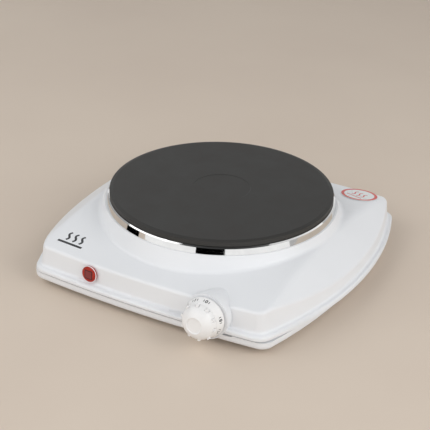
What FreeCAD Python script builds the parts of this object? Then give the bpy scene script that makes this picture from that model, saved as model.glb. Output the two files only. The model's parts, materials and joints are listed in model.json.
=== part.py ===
import FreeCAD, Part
import math
import os
import re

import Sketcher

# Table-top electric hot plate with one cast-iron burner.
# Lengths are millimetres, angles degrees. +Z is up and -Y is the front, where the knob is.
# Every sub-part is drawn about the burner's own axis, with the feet standing on z = 0, and its
# Placement then moves it back by plate_axis_y, which centres the whole object on the origin.

SIZES = [
    ("plate_axis_y", 15.16, "burner axis, behind the middle of the whole object"),
    ("side_radius", 314.2, "plan radius of each bowed side"),
    ("side_centre_x", 181.7, "centre of that bow, across the object"),
    ("side_centre_y", 7.7, "centre of that bow, behind the burner axis"),
    ("front_radius", 1103, "plan radius of the bowed front"),
    ("front_reach", 130.5, "burner axis to the front of the lip"),
    ("back_radius", 1691, "plan radius of the bowed back"),
    ("back_reach", 119.7, "burner axis to the back of the lip"),
    ("corner_radius", 13, "plan radius of the lip's corners"),
    ("wall", 1.6, "thickness of the pressed housing"),
    ("wall_inset", 4.1, "lip's edge to the foot of the wall"),
    ("wall_draft", 6, "lean of the walls"),
    ("lip_bottom", 13.5, "height of the lip's underside"),
    ("lip_height", 3.7, "thickness of the lip"),
    ("lip_round", 2.2, "radius of the lip's upper edge"),
    ("lip_fillet", 2.4, "hollow between lip and wall"),
    ("tall", 60, "height to which cutting shapes reach"),
    ("crown_radius", 592, "radius of the arched top strip"),
    ("crown_top", 45.3, "height of that arch"),
    ("crown_y", -7.8, "where the arch is highest"),
    ("wing_tilt", 35.3, "tilt of the sloping side panels"),
    ("wing_radius", 990, "radius of the arch that those panels follow"),
    ("wing_x", 100, "place where a panel's height is taken, from the middle"),
    ("wing_y", 5.6, "where a panel is highest"),
    ("wing_height", 45.5, "height of a panel there"),
    ("crease_round", 12, "radius of the crease beside the strip"),
    ("roof_round", 3, "radius round the edge of the top"),
    ("boss_top", 51.5, "height of the raised round boss"),
    ("boss_radius", 98, "radius of the boss at its top"),
    ("boss_slope", 0.48, "outward run of the boss per height"),
    ("boss_root", 28, "height at which its cone ends, inside the shell"),
    ("boss_fillet", 4, "hollow round the foot of the boss"),
    ("boss_hole", 86, "radius of the hole under the burner"),
    ("plate_radius", 94, "radius of the cast-iron plate"),
    ("plate_top", 62, "height of the cooking surface"),
    ("plate_thick", 5, "height of the plate's rim"),
    ("bevel_run", 3, "width of the bevel at the plate's edge"),
    ("bevel_drop", 0.8, "fall of that bevel"),
    ("dimple_radius", 24.5, "radius of the plate's sunk middle"),
    ("dimple_deep", 0.25, "depth of the sunk middle"),
    ("skirt_radius", 84.5, "outside of the ring cast under the plate"),
    ("skirt_wall", 4, "thickness of that ring"),
    ("skirt_bottom", 51, "lower edge of that ring"),
    ("ring_wall", 0.8, "thickness of the spill ring"),
    ("ring_foot", 96.8, "radius of the spill ring's foot"),
    ("pan_inset", 1.3, "lip's edge to the base pan's front and back"),
    ("pan_side", 4.6, "how much further in the middle of the pan's left and right sides stands"),
    ("pan_flatter", 100, "how much larger the radius of those two sides is"),
    ("pan_bottom", 5, "height of the base pan's underside"),
    ("pan_shoulder", 11.9, "top of the pan's visible side"),
    ("pan_top", 16, "top of the step inside the housing"),
    ("step_inset", 6.3, "lip's edge to that step"),
    ("pan_wall", 1.5, "thickness of the base pan"),
    ("pan_round", 3.5, "radius of the pan's lower edge"),
    ("pan_rim", 2.3, "thickness of the pan's side"),
    ("seat_x", 58, "knob axis, right of the middle"),
    ("seat_reach", 130.5, "burner axis to the face behind the knob"),
    ("seat_height", 25, "height of the knob axis at that face"),
    ("seat_radius", 18.1, "radius of the drum behind the knob"),
    ("seat_deep", 7, "length of the drum"),
    ("seat_wall", 2, "thickness of the drum's face"),
    ("hump_long", 35, "length of the hump behind the drum"),
    ("hump_front", 17.6, "radius of the hump at the drum"),
    ("hump_back", 11, "radius of the hump at its tail"),
    ("knob_gap", 1, "drum's face to the knob"),
    ("knob_radius", 16.3, "radius of the knob's dial"),
    ("knob_long", 18.9, "drum's face to the front of the knob"),
    ("dome_radius", 13.9, "radius of the knob's grip"),
    ("crown_thick", 4.4, "depth of material at the knob's front"),
    ("hub_start", 4.4, "drum's face to the back of the knob's hub"),
    ("cap_radius", 5.9, "radius of the sunk cap on the knob"),
    ("shaft_radius", 3, "radius of the thermostat's spindle"),
    ("running", 0.05, "running clearance round the spindle"),
    ("neck_radius", 5, "radius of the thermostat's threaded neck"),
    ("lamp_x", -49.4, "pilot lamp, left of the middle"),
    ("lamp_reach", 124.9, "burner axis to the lamp's place on the wall"),
    ("lamp_height", 25.9, "height of the lamp"),
    ("lamp_yaw", -2.6, "turn of the wall at the lamp"),
    ("lamp_radius", 7, "radius of the red lens"),
    ("lamp_hole", 6, "radius of the hole behind the lens"),
    ("gland_x", -62, "cord inlet, left of the middle"),
    ("gland_reach", 113.2, "burner axis to the wall at the inlet"),
    ("gland_height", 25.2, "height of the inlet"),
    ("gland_bore", 3.6, "radius of the inlet's bore"),
    ("gland_hole", 5.4, "radius of the hole for the inlet"),
    ("label_x", 87.6, "sticker, right of the middle"),
    ("label_y", 95.9, "sticker, behind the burner axis"),
    ("label_radius", 16.4, "radius of the sticker"),
    ("label_thick", 0.3, "thickness of the sticker"),
    ("post_front_x", 97, "front screw posts, from the middle"),
    ("post_front_y", -100, "front screw posts, from the burner axis"),
    ("post_back_x", 104, "back screw posts, from the middle"),
    ("post_back_y", 96, "back screw posts, from the burner axis"),
    ("post_radius", 4.5, "radius of a screw post"),
    ("screw_radius", 1.5, "radius of a screw"),
    ("screw_long", 11, "length of a screw under its head"),
    ("head_radius", 3, "radius of a screw's head"),
    ("head_high", 1.6, "height of a screw's head"),
    ("foot_front_x", 84, "front feet, from the middle"),
    ("foot_front_y", -106, "front feet, from the burner axis"),
    ("foot_back_x", 90, "back feet, from the middle"),
    ("foot_back_y", 98, "back feet, from the burner axis"),
    ("foot_radius", 9, "radius of a rubber foot"),
    ("stem_radius", 3, "radius of a foot's stem"),
    ("core_radius", 80, "radius of the insulation under the plate"),
    ("core_bottom", 51.6, "underside of that insulation"),
    ("core_top", 56.3, "top of that insulation"),
    ("cover_thick", 0.8, "thickness of the sheet under it"),
    ("coil_height", 54, "height of the heating coils"),
    ("coil_wire", 1.5, "radius of a coil"),
    ("stud_radius", 3, "radius of the centre stud"),
    ("stud_bottom", 22.5, "lower end of the centre stud"),
    ("stud_top", 60, "upper end of the centre stud"),
    ("bridge_reach", 93, "half length of the clamping bridge"),
    ("bridge_wide", 26, "width of the bridge"),
    ("bridge_low", 36, "height of the bridge's middle"),
    ("bridge_thick", 1.6, "thickness of the bridge"),
    ("washer_radius", 9, "radius of the clamping washer"),
    ("washer_thick", 1.2, "thickness of the washer"),
    ("nut_circle", 5.8, "corner radius of the clamping nut"),
    ("nut_thick", 5, "thickness of the clamping nut"),
    ("block_y", 45, "ceramic terminal block, behind the axis"),
    ("block_pitch", 13, "spacing of its three posts"),
    ("terminal_radius", 2, "radius of a terminal post"),
    ("shield_radius", 76, "radius of the heat shield"),
    ("shield_bottom", 19.5, "height of the heat shield"),
    ("shield_thick", 0.6, "thickness of the heat shield"),
    ("leg_ring", 68, "radius on which the shield's legs stand"),
    ("leg_radius", 3, "radius of a leg"),
    ("supply_x", -62, "incoming terminal strip, from the middle"),
    ("supply_y", 88, "incoming terminal strip, behind the axis"),
    ("earth_x", -20, "earth screw, from the middle"),
    ("earth_y", 96, "earth screw, behind the axis"),
    ("wire_radius", 1.3, "radius of an insulated lead"),
    ("cam_low", 3.4, "smallest radius of the thermostat's cam"),
    ("cam_rise", 2.4, "growth of the cam over its turn"),
    ("cam_turn", 306, "turn over which the cam grows by its whole rise"),
    ("leaf_x", -8.6, "pivot of the contact leaf, from the spindle"),
    ("leaf_height", -5, "pivot of the contact leaf, under the spindle"),
    ("leaf_pin", 1, "radius of that pivot"),
]
MEANING = dict((alias, meaning) for alias, number, meaning in SIZES)

doc = FreeCAD.newDocument("hot_plate")
sheet = doc.addObject("Spreadsheet::Sheet", "Sizes")
for row, (alias, number, meaning) in enumerate(SIZES, 1):
    sheet.set("A%d" % row, meaning)
    sheet.set("B%d" % row, str(number))
    sheet.setAlias("B%d" % row, alias)
doc.recompute()

X_AXIS = FreeCAD.Vector(1, 0, 0)
Y_AXIS = FreeCAD.Vector(0, 1, 0)
Z_AXIS = FreeCAD.Vector(0, 0, 1)
PIECES = []


# ---------------------------------------------------------------- helpers

def bound(text):
    """The expression that an object uses for a size written with the sheet's aliases."""
    return re.sub(r"[a-z_]+", lambda word: ("Sizes." if word.group() in MEANING else "") + word.group(),
                  str(text))


def value(text):
    number = sheet.evalExpression(str(text))
    return float(getattr(number, "Value", number))


def bind(thing, **sizes):
    for name, text in sizes.items():
        thing.setExpression(name, bound(text))
    return thing


def place(thing, x=0, y=0, z=0, axis=None, angle=0):
    if axis is not None:
        thing.Placement = FreeCAD.Placement(FreeCAD.Vector(), FreeCAD.Rotation(axis, value(angle)))
        thing.setExpression(".Placement.Rotation.Angle", bound(angle))
    for name, text in (("x", x), ("y", y), ("z", z)):
        if str(text) != "0":
            thing.setExpression(".Placement.Base." + name, bound(text))
    return thing


def cylinder(name, radius, height, **where):
    return place(bind(doc.addObject("Part::Cylinder", name), Radius=radius, Height=height), **where)


def cone(name, low_radius, high_radius, height, **where):
    made = bind(doc.addObject("Part::Cone", name), Radius1=low_radius, Radius2=high_radius, Height=height)
    return place(made, **where)


def torus(name, radius, wire, **where):
    return place(bind(doc.addObject("Part::Torus", name), Radius1=radius, Radius2=wire), **where)


def box(name, length, width, height, x=0, y=0, z=0):
    """A block whose base is centred on x, y at height z."""
    made = bind(doc.addObject("Part::Box", name), Length=length, Width=width, Height=height)
    return place(made, "%s - (%s) / 2" % (x, length), "%s - (%s) / 2" % (y, width), z)


def hexagon(name, corner_radius, height, **where):
    made = doc.addObject("Part::Prism", name)
    made.Polygon = 6
    return place(bind(made, Circumradius=corner_radius, Height=height), **where)


def joined(name, *things):
    made = doc.addObject("Part::MultiFuse", name)
    made.Shapes = list(things)
    made.Refine = True
    return made


def shared(name, *things):
    made = doc.addObject("Part::MultiCommon", name)
    made.Shapes = list(things)
    return made


def less(name, base, *tools):
    made = doc.addObject("Part::Cut", name)
    made.Base = base
    made.Tool = tools[0] if len(tools) == 1 else joined(name + "_tools", *tools)
    return made


def group(name, things):
    made = doc.addObject("Part::Compound", name)
    made.Links = things
    return made


def rounded(name, base, radius, wanted):
    """Fillets the edges of a shape for which wanted(edge, its middle point) is true."""
    doc.recompute()
    picked = []
    for number, edge in enumerate(base.Shape.Edges, 1):
        middle = edge.valueAt((edge.FirstParameter + edge.LastParameter) / 2)
        if wanted(edge, middle):
            picked.append((number, value(radius), value(radius)))
    made = doc.addObject("Part::Fillet", name)
    made.Base = base
    made.Edges = picked
    return made


def outline_sketch(body, name, role, corners):
    """A closed outline of straight lines whose corners are bound to the sheet."""
    sketch = body.newObject("Sketcher::SketchObject", name)
    plane = [item for item in body.Origin.OriginFeatures if item.Role == role][0]
    sketch.AttachmentSupport = (plane, [""])
    sketch.MapMode = "FlatFace"
    points = [FreeCAD.Vector(value(across), value(up), 0) for across, up in corners]
    count = len(points)
    for index in range(count):
        sketch.addGeometry(Part.LineSegment(points[index], points[(index + 1) % count]), False)
    for index in range(count):
        sketch.addConstraint(Sketcher.Constraint("Coincident", index, 2, (index + 1) % count, 1))
    for index, (across, up) in enumerate(corners):
        for kind, text, number in (("DistanceX", across, points[index].x), ("DistanceY", up, points[index].y)):
            constraint = sketch.addConstraint(Sketcher.Constraint(kind, index, 1, number))
            sketch.setExpression("Constraints[%d]" % constraint, bound(text))
    return sketch


def turned(name, corners):
    """A body turned about its own Z from an outline of (radius, height) corners."""
    body = doc.addObject("PartDesign::Body", name)
    sketch = outline_sketch(body, name + "_outline", "XZ_Plane", corners)
    turn = body.newObject("PartDesign::Revolution", name + "_turn")
    turn.Profile = sketch
    turn.ReferenceAxis = (sketch, ["V_Axis"])
    turn.Angle = 360
    return body


def pressed(name, role, corners, length):
    """A body padded both ways from an outline on one of its origin planes."""
    body = doc.addObject("PartDesign::Body", name)
    pad = body.newObject("PartDesign::Pad", name + "_pad")
    pad.Profile = outline_sketch(body, name + "_outline", role, corners)
    pad.Midplane = True
    return bind(pad, Length=length) and body


def piece(name, thing, **where):
    """Names a finished sub-part and stands it in the object's frame."""
    thing.Label = name
    if not where:
        where = {"y": "plate_axis_y"}
    place(thing, **where)
    PIECES.append(thing)
    return thing


# Places along the knob's axis, which leans back by the walls' draft.
def on_knob_axis(along, whole=False):
    shift = "plate_axis_y" if whole else "0"
    return {"x": "seat_x", "y": "%s - seat_reach - (%s) * cos(wall_draft)" % (shift, along),
            "z": "seat_height + (%s) * sin(wall_draft)" % along, "axis": X_AXIS, "angle": "90 - wall_draft"}


def on_lamp_axis(thing, along, whole=False):
    shift = "plate_axis_y" if whole else "0"
    turn = FreeCAD.Rotation(Z_AXIS, value("lamp_yaw")) * FreeCAD.Rotation(X_AXIS, value("90 - wall_draft"))
    thing.Placement = FreeCAD.Placement(FreeCAD.Vector(), turn)
    return place(thing, "lamp_x + (%s) * sin(lamp_yaw)" % along,
                 "%s - lamp_reach - (%s) * cos(wall_draft)" % (shift, along),
                 "lamp_height + (%s) * sin(wall_draft)" % along)


def on_gland_axis(along, whole=False):
    shift = "plate_axis_y" if whole else "0"
    return {"x": "gland_x", "y": "%s + gland_reach + (%s) * cos(wall_draft)" % (shift, along),
            "z": "gland_height + (%s) * sin(wall_draft)" % along, "axis": X_AXIS, "angle": "wall_draft - 90"}


# ---------------------------------------------------------------- shared outlines

def upright(edge):
    size = edge.BoundBox
    return size.ZLength > 2 and size.XLength < 12 and size.YLength < 12


def plan_block(name, inset, low, high, draft="0", side_inset="0", flatter="0"):
    """The plan outline, four bowed sides and round corners, as a block between two heights."""
    rise = "(%s - (%s))" % (high, low)
    sides = []
    across = "(side_centre_x + %s + %s)" % (side_inset, flatter)
    side_arc = "(side_radius + %s)" % flatter
    for side, x, y, radius, seam in (("left", across, "side_centre_y", side_arc, 0),
                                     ("right", "-" + across, "side_centre_y", side_arc, 180),
                                     ("front", "0", "front_radius - front_reach", "front_radius", 90),
                                     ("back", "0", "back_reach - back_radius", "back_radius", -90)):
        foot = "%s - (%s)" % (radius, inset)
        sides.append(cone(name + "_" + side, foot, "%s - %s * tan(%s)" % (foot, rise, draft), rise,
                          x=x, y=y, z=low, axis=Z_AXIS, angle=seam)
                     if draft != "0" else
                     cylinder(name + "_" + side, foot, rise, x=x, y=y, z=low, axis=Z_AXIS, angle=seam))
    return rounded(name, shared(name + "_sides", *sides), "corner_radius - (%s)" % inset,
                   lambda edge, middle: upright(edge))


def roof_block(name, gap):
    """The housing's outer form, or its hollow when gap is the wall's thickness."""
    walls = plan_block(name + "_walls", "wall_inset + %s" % gap, "lip_bottom", "tall", "wall_draft")
    crown = cylinder(name + "_crown", "crown_radius - %s" % gap, 400, x=-200, y="crown_y",
                     z="crown_top - crown_radius", axis=Y_AXIS, angle=90)
    wings = [wing_block("%s_wing_%s" % (name, side), gap, sign) for side, sign in (("left", "-"), ("right", "+"))]
    return shared(name, walls, crown, *wings)


def wing_block(name, gap, sign):
    """All that lies under one side panel: a long cylinder, arched from front to back, tilted down outwards."""
    half = 250
    across = "%s(wing_x - wing_radius * sin(wing_tilt)) - %d * cos(wing_tilt)" % (sign, half)
    up = "wing_height - wing_radius * cos(wing_tilt) %s %d * sin(wing_tilt)" % (sign, half)
    return cylinder(name, "wing_radius - %s" % gap, 2 * half, x=across, y="wing_y", z=up, axis=Y_AXIS,
                    angle="90 %s wing_tilt" % sign)


def crease(edge, middle):
    return edge.BoundBox.YLength > 150 and edge.BoundBox.XLength < 20 and edge.BoundBox.ZMin > 32


def roof_edge(edge, middle):
    long_crease = edge.BoundBox.YLength > 150 and edge.BoundBox.XLength < 20
    return edge.BoundBox.ZMin > 20 and not long_crease and (
        middle.y < -110 or middle.y > 100 or abs(middle.x) > 110)


def corner_places(kind):
    """Name, x and y of the four screw posts or of the four feet."""
    for end in ("front", "back"):
        for side, sign in (("left", "-"), ("right", "")):
            yield end + "_" + side, "%s%s_%s_x" % (sign, kind, end), "%s_%s_y" % (kind, end)


# ---------------------------------------------------------------- upper housing

def upper_housing():
    form = roof_block("form", "0")
    creased = rounded("form_creased", form, "crease_round", crease)
    topped = rounded("form_topped", creased, "roof_round", roof_edge)

    lip = plan_block("lip", "0", "lip_bottom", "lip_bottom + lip_height")
    lip_top = value("lip_bottom + lip_height")
    lip_eased = rounded("lip_eased", lip, "lip_round", lambda edge, middle: edge.BoundBox.ZMin > lip_top - 0.01)
    skin = joined("skin_with_lip", topped, lip_eased)
    skin = rounded("skin_hollowed", skin, "lip_fillet", lambda edge, middle: (
        abs(edge.BoundBox.ZMin - lip_top) < 0.01 and edge.BoundBox.ZLength < 0.01
        and abs(middle.y) < value("back_reach + front_reach") and inside_lip(middle)))

    boss = cone("boss", "boss_radius + boss_slope * (boss_top - boss_root)", "boss_radius",
                "boss_top - boss_root", z="boss_root")
    skin = joined("skin_with_boss", skin, boss)
    skin = rounded("skin_boss_eased", skin, "boss_fillet", lambda edge, middle: (
        32 < middle.z and 98 < math.hypot(middle.x, middle.y) < 112
        and edge.BoundBox.ZMax < value("boss_top") - 1 and ring_edge(edge)))

    hump = cone("hump", "hump_back", "hump_front", "hump_long", **on_knob_axis("-seat_deep - hump_long"))
    above_lip = box("above_lip", 120, 120, "tall", "seat_x", "-seat_reach + 40", "lip_bottom")
    seat = less("seat", cylinder("seat_drum", "seat_radius", "seat_deep", **on_knob_axis("-seat_deep")),
                plan_block("pan_room", "seat_wall + 1.2", "pan_bottom - 1", "lip_bottom"))
    skin = joined("skin", skin, shared("hump_trimmed", hump, above_lip), seat)

    hollow = roof_block("hollow", "wall")
    side = "wall * sqrt(1 + boss_slope ^ 2)"
    boss_hollow = cone("boss_hollow", "boss_radius + boss_slope * (boss_top - boss_root + 8) - " + side,
                       "boss_radius + boss_slope * wall - " + side, "boss_top - boss_root + 8 - wall",
                       z="boss_root - 8")
    hump_hollow = cone("hump_hollow", "hump_back - wall", "hump_front - wall", "hump_long",
                       **on_knob_axis("-seat_deep - hump_long"))
    seat_hollow = cylinder("seat_hollow", "hump_front - wall", "seat_deep - seat_wall",
                           **on_knob_axis("-seat_deep"))
    trimmed = shared("knob_hollow", joined("knob_hollows", hump_hollow, seat_hollow),
                     box("above_pan", 120, 120, "tall", "seat_x", "-seat_reach + 40", "lip_bottom - 0.5"))
    shell = less("shell", skin, hollow, boss_hollow, trimmed,
                 cylinder("burner_hole", "boss_hole", 20, z="boss_top - 10"),
                 cylinder("neck_hole", "neck_radius + 0.2", 20, **on_knob_axis("-10")),
                 on_lamp_axis(cylinder("lamp_opening", "lamp_hole + 0.2", 16), "-8"),
                 cylinder("gland_opening", "gland_hole", 16, **on_gland_axis("-8")))

    posts = []
    for name, x, y in corner_places("post"):
        post = cylinder("post_" + name, "post_radius", "tall", x=x, y=y, z="pan_bottom + pan_wall")
        posts.append(less("bored_post_" + name, post,
                          cylinder("post_bore_" + name, "screw_radius", "screw_long + 1", x=x, y=y,
                                   z="pan_bottom")))
    trimmed_posts = shared("posts_trimmed", joined("posts", *posts),
                           joined("post_space", roof_block("post_roof", "0.4"),
                                  box("post_foot_space", 240, 230, 20, 0, 0, "pan_bottom")))
    piece("upper_housing", joined("upper_housing", shell, trimmed_posts))


def inside_lip(point):
    """True for points on the wall's foot rather than on the lip's outer edge."""
    reach = value("side_radius - side_centre_x")
    return abs(point.x) < reach - 1.5 and value("-front_reach") + 2 < point.y < value("back_reach") - 2


def ring_edge(edge):
    return all(98 < math.hypot(corner.Point.x, corner.Point.y) < 112 for corner in edge.Vertexes)


# ---------------------------------------------------------------- base pan, feet, screws

def base_pan():
    tray = plan_block("tray", "pan_inset", "pan_bottom", "pan_shoulder", side_inset="pan_side",
                      flatter="pan_flatter")
    low = value("pan_bottom")
    tray = rounded("tray_eased", tray, "pan_round", lambda edge, middle: edge.BoundBox.ZMax < low + 0.01)
    step = plan_block("pan_step", "step_inset", "pan_shoulder", "pan_top")
    floor = "pan_bottom + pan_wall"
    cuts = [plan_block("pan_inside_low", "pan_inset + pan_rim", floor, "pan_shoulder - pan_wall",
                       side_inset="pan_side", flatter="pan_flatter"),
            plan_block("pan_inside_high", "step_inset + pan_wall", floor, "pan_top + 1"),
            box("knob_notch", 40, 24, 10, "seat_x", "-seat_reach", "pan_shoulder - 1"),
            cylinder("seat_scallop", "seat_radius + 0.4", 8, **on_knob_axis("-7.2"))]
    for name, x, y in corner_places("post"):
        cuts.append(cylinder("pan_screw_hole_" + name, "screw_radius + 0.2", 8, x=x, y=y))
    for name, x, y in corner_places("foot"):
        cuts.append(cylinder("pan_foot_hole_" + name, "stem_radius", 8, x=x, y=y))
    for side in (-1, 1):
        for index in range(6):
            cuts.append(box("vent_%d_%d" % (side + 1, index), 34, 3, 4, 46 * side, 11 * index - 27.5,
                            "pan_bottom - 1"))
    piece("base_pan", less("base_pan", joined("pan_blank", tray, step), *cuts))


def feet():
    for name, x, y in corner_places("foot"):
        foot = turned("foot_" + name, [
            (0, 0), ("foot_radius - 1.5", 0), ("foot_radius", 1.2), ("foot_radius - 0.8", "pan_bottom"),
            ("stem_radius", "pan_bottom"), ("stem_radius", "pan_bottom + pan_wall"),
            ("stem_radius + 0.7", "pan_bottom + pan_wall"), ("stem_radius - 0.8", "pan_bottom + pan_wall + 2.4"),
            (0, "pan_bottom + pan_wall + 2.4")])
        piece("foot_" + name, foot, x=x, y="plate_axis_y + " + y)


def base_screws():
    screws = []
    for name, x, y in corner_places("post"):
        head = cylinder("screw_head_" + name, "head_radius", "head_high", x=x, y=y, z="pan_bottom - head_high")
        slot = box("screw_slot_" + name, 8, 0.9, 0.7, x, y, "pan_bottom - head_high")
        shank = cylinder("screw_shank_" + name, "screw_radius", "screw_long", x=x, y=y, z="pan_bottom")
        screws.append(less("screw_" + name, joined("screw_blank_" + name, head, shank), slot))
    piece("base_screws", group("base_screws", screws))


def rating_plate():
    piece("rating_plate", box("rating_plate", 56, 34, 0.4), x=-28, y="plate_axis_y + 57", z="pan_bottom - 0.4")


# ---------------------------------------------------------------- burner

def hot_plate():
    piece("hot_plate", turned("hot_plate", [
        (0, "stud_top"), ("stud_radius", "stud_top"), ("stud_radius", "plate_top - plate_thick - 0.5"),
        ("skirt_radius - skirt_wall", "plate_top - plate_thick - 0.5"),
        ("skirt_radius - skirt_wall", "skirt_bottom"), ("skirt_radius", "skirt_bottom"),
        ("skirt_radius", "plate_top - plate_thick"), ("plate_radius - 0.7", "plate_top - plate_thick"),
        ("plate_radius", "plate_top - plate_thick + 0.7"), ("plate_radius", "plate_top - bevel_drop"),
        ("plate_radius - bevel_run", "plate_top"), ("dimple_radius", "plate_top"),
        ("dimple_radius - 0.4", "plate_top - dimple_deep"), (0, "plate_top - dimple_deep")]))


def spill_ring():
    shelf = "plate_top - plate_thick"
    piece("spill_ring", turned("spill_ring", [
        ("plate_radius - 2.5", shelf), ("plate_radius + 0.4", shelf), ("plate_radius + 1.5", shelf + " - 0.9"),
        ("ring_foot", "boss_top"), ("ring_foot - ring_wall", "boss_top"),
        ("plate_radius + 1.5 - ring_wall", shelf + " - 1.4"), ("plate_radius", shelf + " - ring_wall"),
        ("plate_radius - 2.5", shelf + " - ring_wall")]))


def heating_parts():
    coils = [torus("coil_%d" % radius, radius, "coil_wire", z="coil_height") for radius in (24, 38, 52, 66)]
    core = cylinder("core_blank", "core_radius", "core_top - core_bottom", z="core_bottom")
    grooves = [torus("groove_%d" % radius, radius, "coil_wire", z="coil_height") for radius in (24, 38, 52, 66)]
    stud_way = cylinder("core_stud_way", "stud_radius + 0.4", 20, z="core_bottom - 5")
    piece("plate_insulation", less("plate_insulation", core, stud_way, *grooves))
    piece("heating_coils", group("heating_coils", coils))

    sheet_blank = cylinder("cover_blank", "core_radius", "cover_thick", z="core_bottom - cover_thick")
    piece("plate_cover", less("plate_cover", sheet_blank,
                              cylinder("cover_stud_way", "stud_radius + 0.4", 6, z="core_bottom - 4")))


def clamping_parts():
    piece("centre_stud", cylinder("centre_stud", "stud_radius", "stud_top - stud_bottom"),
          y="plate_axis_y", z="stud_bottom")
    under = "boss_top - wall"
    lift = "bridge_thick"
    strap = pressed("bridge_strap", "XZ_Plane", [
        ("-bridge_reach", under + " - " + lift), ("-bridge_reach", under), ("-boss_hole", under),
        ("-62", "bridge_low + " + lift), ("62", "bridge_low + " + lift), ("boss_hole", under),
        ("bridge_reach", under), ("bridge_reach", under + " - " + lift), ("boss_hole - 1", under + " - " + lift),
        ("61", "bridge_low"), ("-61", "bridge_low"), ("-boss_hole + 1", under + " - " + lift)], "bridge_wide")
    piece("clamp_bridge", less("clamp_bridge", strap,
                               cylinder("bridge_hole", "stud_radius + 0.3", 10, z="bridge_low - 4")))
    washer = cylinder("washer_blank", "washer_radius", "washer_thick", z="bridge_low - washer_thick")
    piece("clamp_washer", less("clamp_washer", washer,
                               cylinder("washer_hole", "stud_radius + 0.2", 6, z="bridge_low - 4")))
    nut = hexagon("nut_blank", "nut_circle", "nut_thick", z="bridge_low - washer_thick - nut_thick")
    piece("clamp_nut", less("clamp_nut", nut, cylinder("nut_bore", "stud_radius", 12, z="bridge_low - 10")))


def terminal_parts():
    top = "core_bottom - cover_thick"
    block = box("block_blank", 42, 16, 10, 0, "block_y", top + " - 10")
    bores = []
    posts = []
    for index in (-1, 0, 1):
        x = "%d * block_pitch" % index
        bores.append(cylinder("block_bore_%d" % (index + 1), "terminal_radius + 0.1", 14, x=x, y="block_y",
                              z=top + " - 12"))
        post = cylinder("terminal_post_%d" % (index + 1), "terminal_radius", 15, x=x, y="block_y",
                        z=top + " - 15")
        nut = hexagon("terminal_nut_%d" % (index + 1), 4, 2.2, x=x, y="block_y", z=top + " - 12.4")
        posts.append(joined("terminal_%d" % (index + 1), post, nut))
    piece("terminal_block", less("terminal_block", block, *bores))
    piece("terminal_posts", group("terminal_posts", posts))

    piece("thermal_fuse", cylinder("thermal_fuse", 3, 16, axis=Y_AXIS, angle=90),
          x="-8", y="plate_axis_y - 45", z=top + " - 3", axis=Y_AXIS, angle=90)
    strap = pressed("fuse_strap", "YZ_Plane", [
        (-12, 0), (-3.9, 0), (-3.9, -6.8), (3.9, -6.8), (3.9, 0), (12, 0), (12, -0.6), (4.6, -0.6),
        (4.6, -7.5), (-4.6, -7.5), (-4.6, -0.6), (-12, -0.6)], 8)
    piece("fuse_clip", strap, y="plate_axis_y - 45", z=top)


def heat_shield():
    disc = cylinder("shield_disc", "shield_radius", "shield_thick", z="shield_bottom")
    legs = []
    for index, angle in enumerate((90, 210, 330)):
        legs.append(cylinder("shield_leg_%d" % index, "leg_radius", "shield_bottom - pan_bottom - pan_wall",
                             x="leg_ring * cos(%d)" % angle, y="leg_ring * sin(%d)" % angle,
                             z="pan_bottom + pan_wall"))
    piece("heat_shield", joined("heat_shield", disc, *legs))


# ---------------------------------------------------------------- thermostat and knob

def cam_outline():
    """A snail cam: its radius grows steadily, then falls back."""
    low, rise, travel = value("cam_low"), value("cam_rise"), value("cam_turn")

    def point(turn):
        radius = low + rise * turn / travel
        angle = math.radians(turn - 90)
        return FreeCAD.Vector(radius * math.cos(angle), radius * math.sin(angle), 0)

    arcs = [Part.Arc(point(turn), point(turn + 30), point(turn + 60)).toShape() for turn in range(0, 300, 60)]
    return Part.Wire(arcs + [Part.LineSegment(point(300), point(0)).toShape()])


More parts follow.
